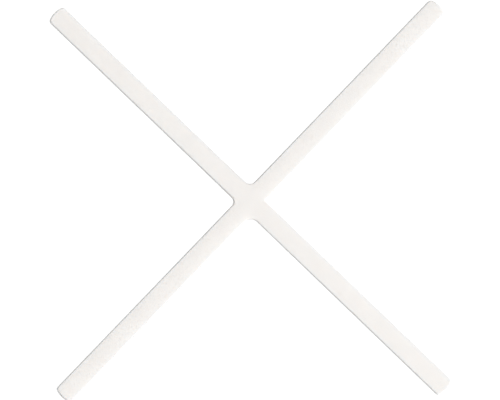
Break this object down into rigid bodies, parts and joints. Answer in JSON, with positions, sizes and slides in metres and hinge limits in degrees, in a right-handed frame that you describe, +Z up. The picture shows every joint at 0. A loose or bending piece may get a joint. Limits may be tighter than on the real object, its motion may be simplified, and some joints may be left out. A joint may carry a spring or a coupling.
{
  "type": "tile spacer",
  "caption": "Flat cross of moulded plastic with long thin arms, set between the corners of tiles to keep their joints even.",
  "frame": {"origin": "centre of the cross on its foot, the face that it rests on", "axes": "+Z up, away from the foot; the arms run along +X, +Y, -X and -Y"},
  "size_m": [0.04, 0.04, 0.003],
  "materials": {
    "spacer_plastic": "off-white, faintly translucent, with a soft matt skin"
  },
  "bodies": {
    "root": {"tile_spacer": "spacer_plastic"}
  },
  "joints": []
}
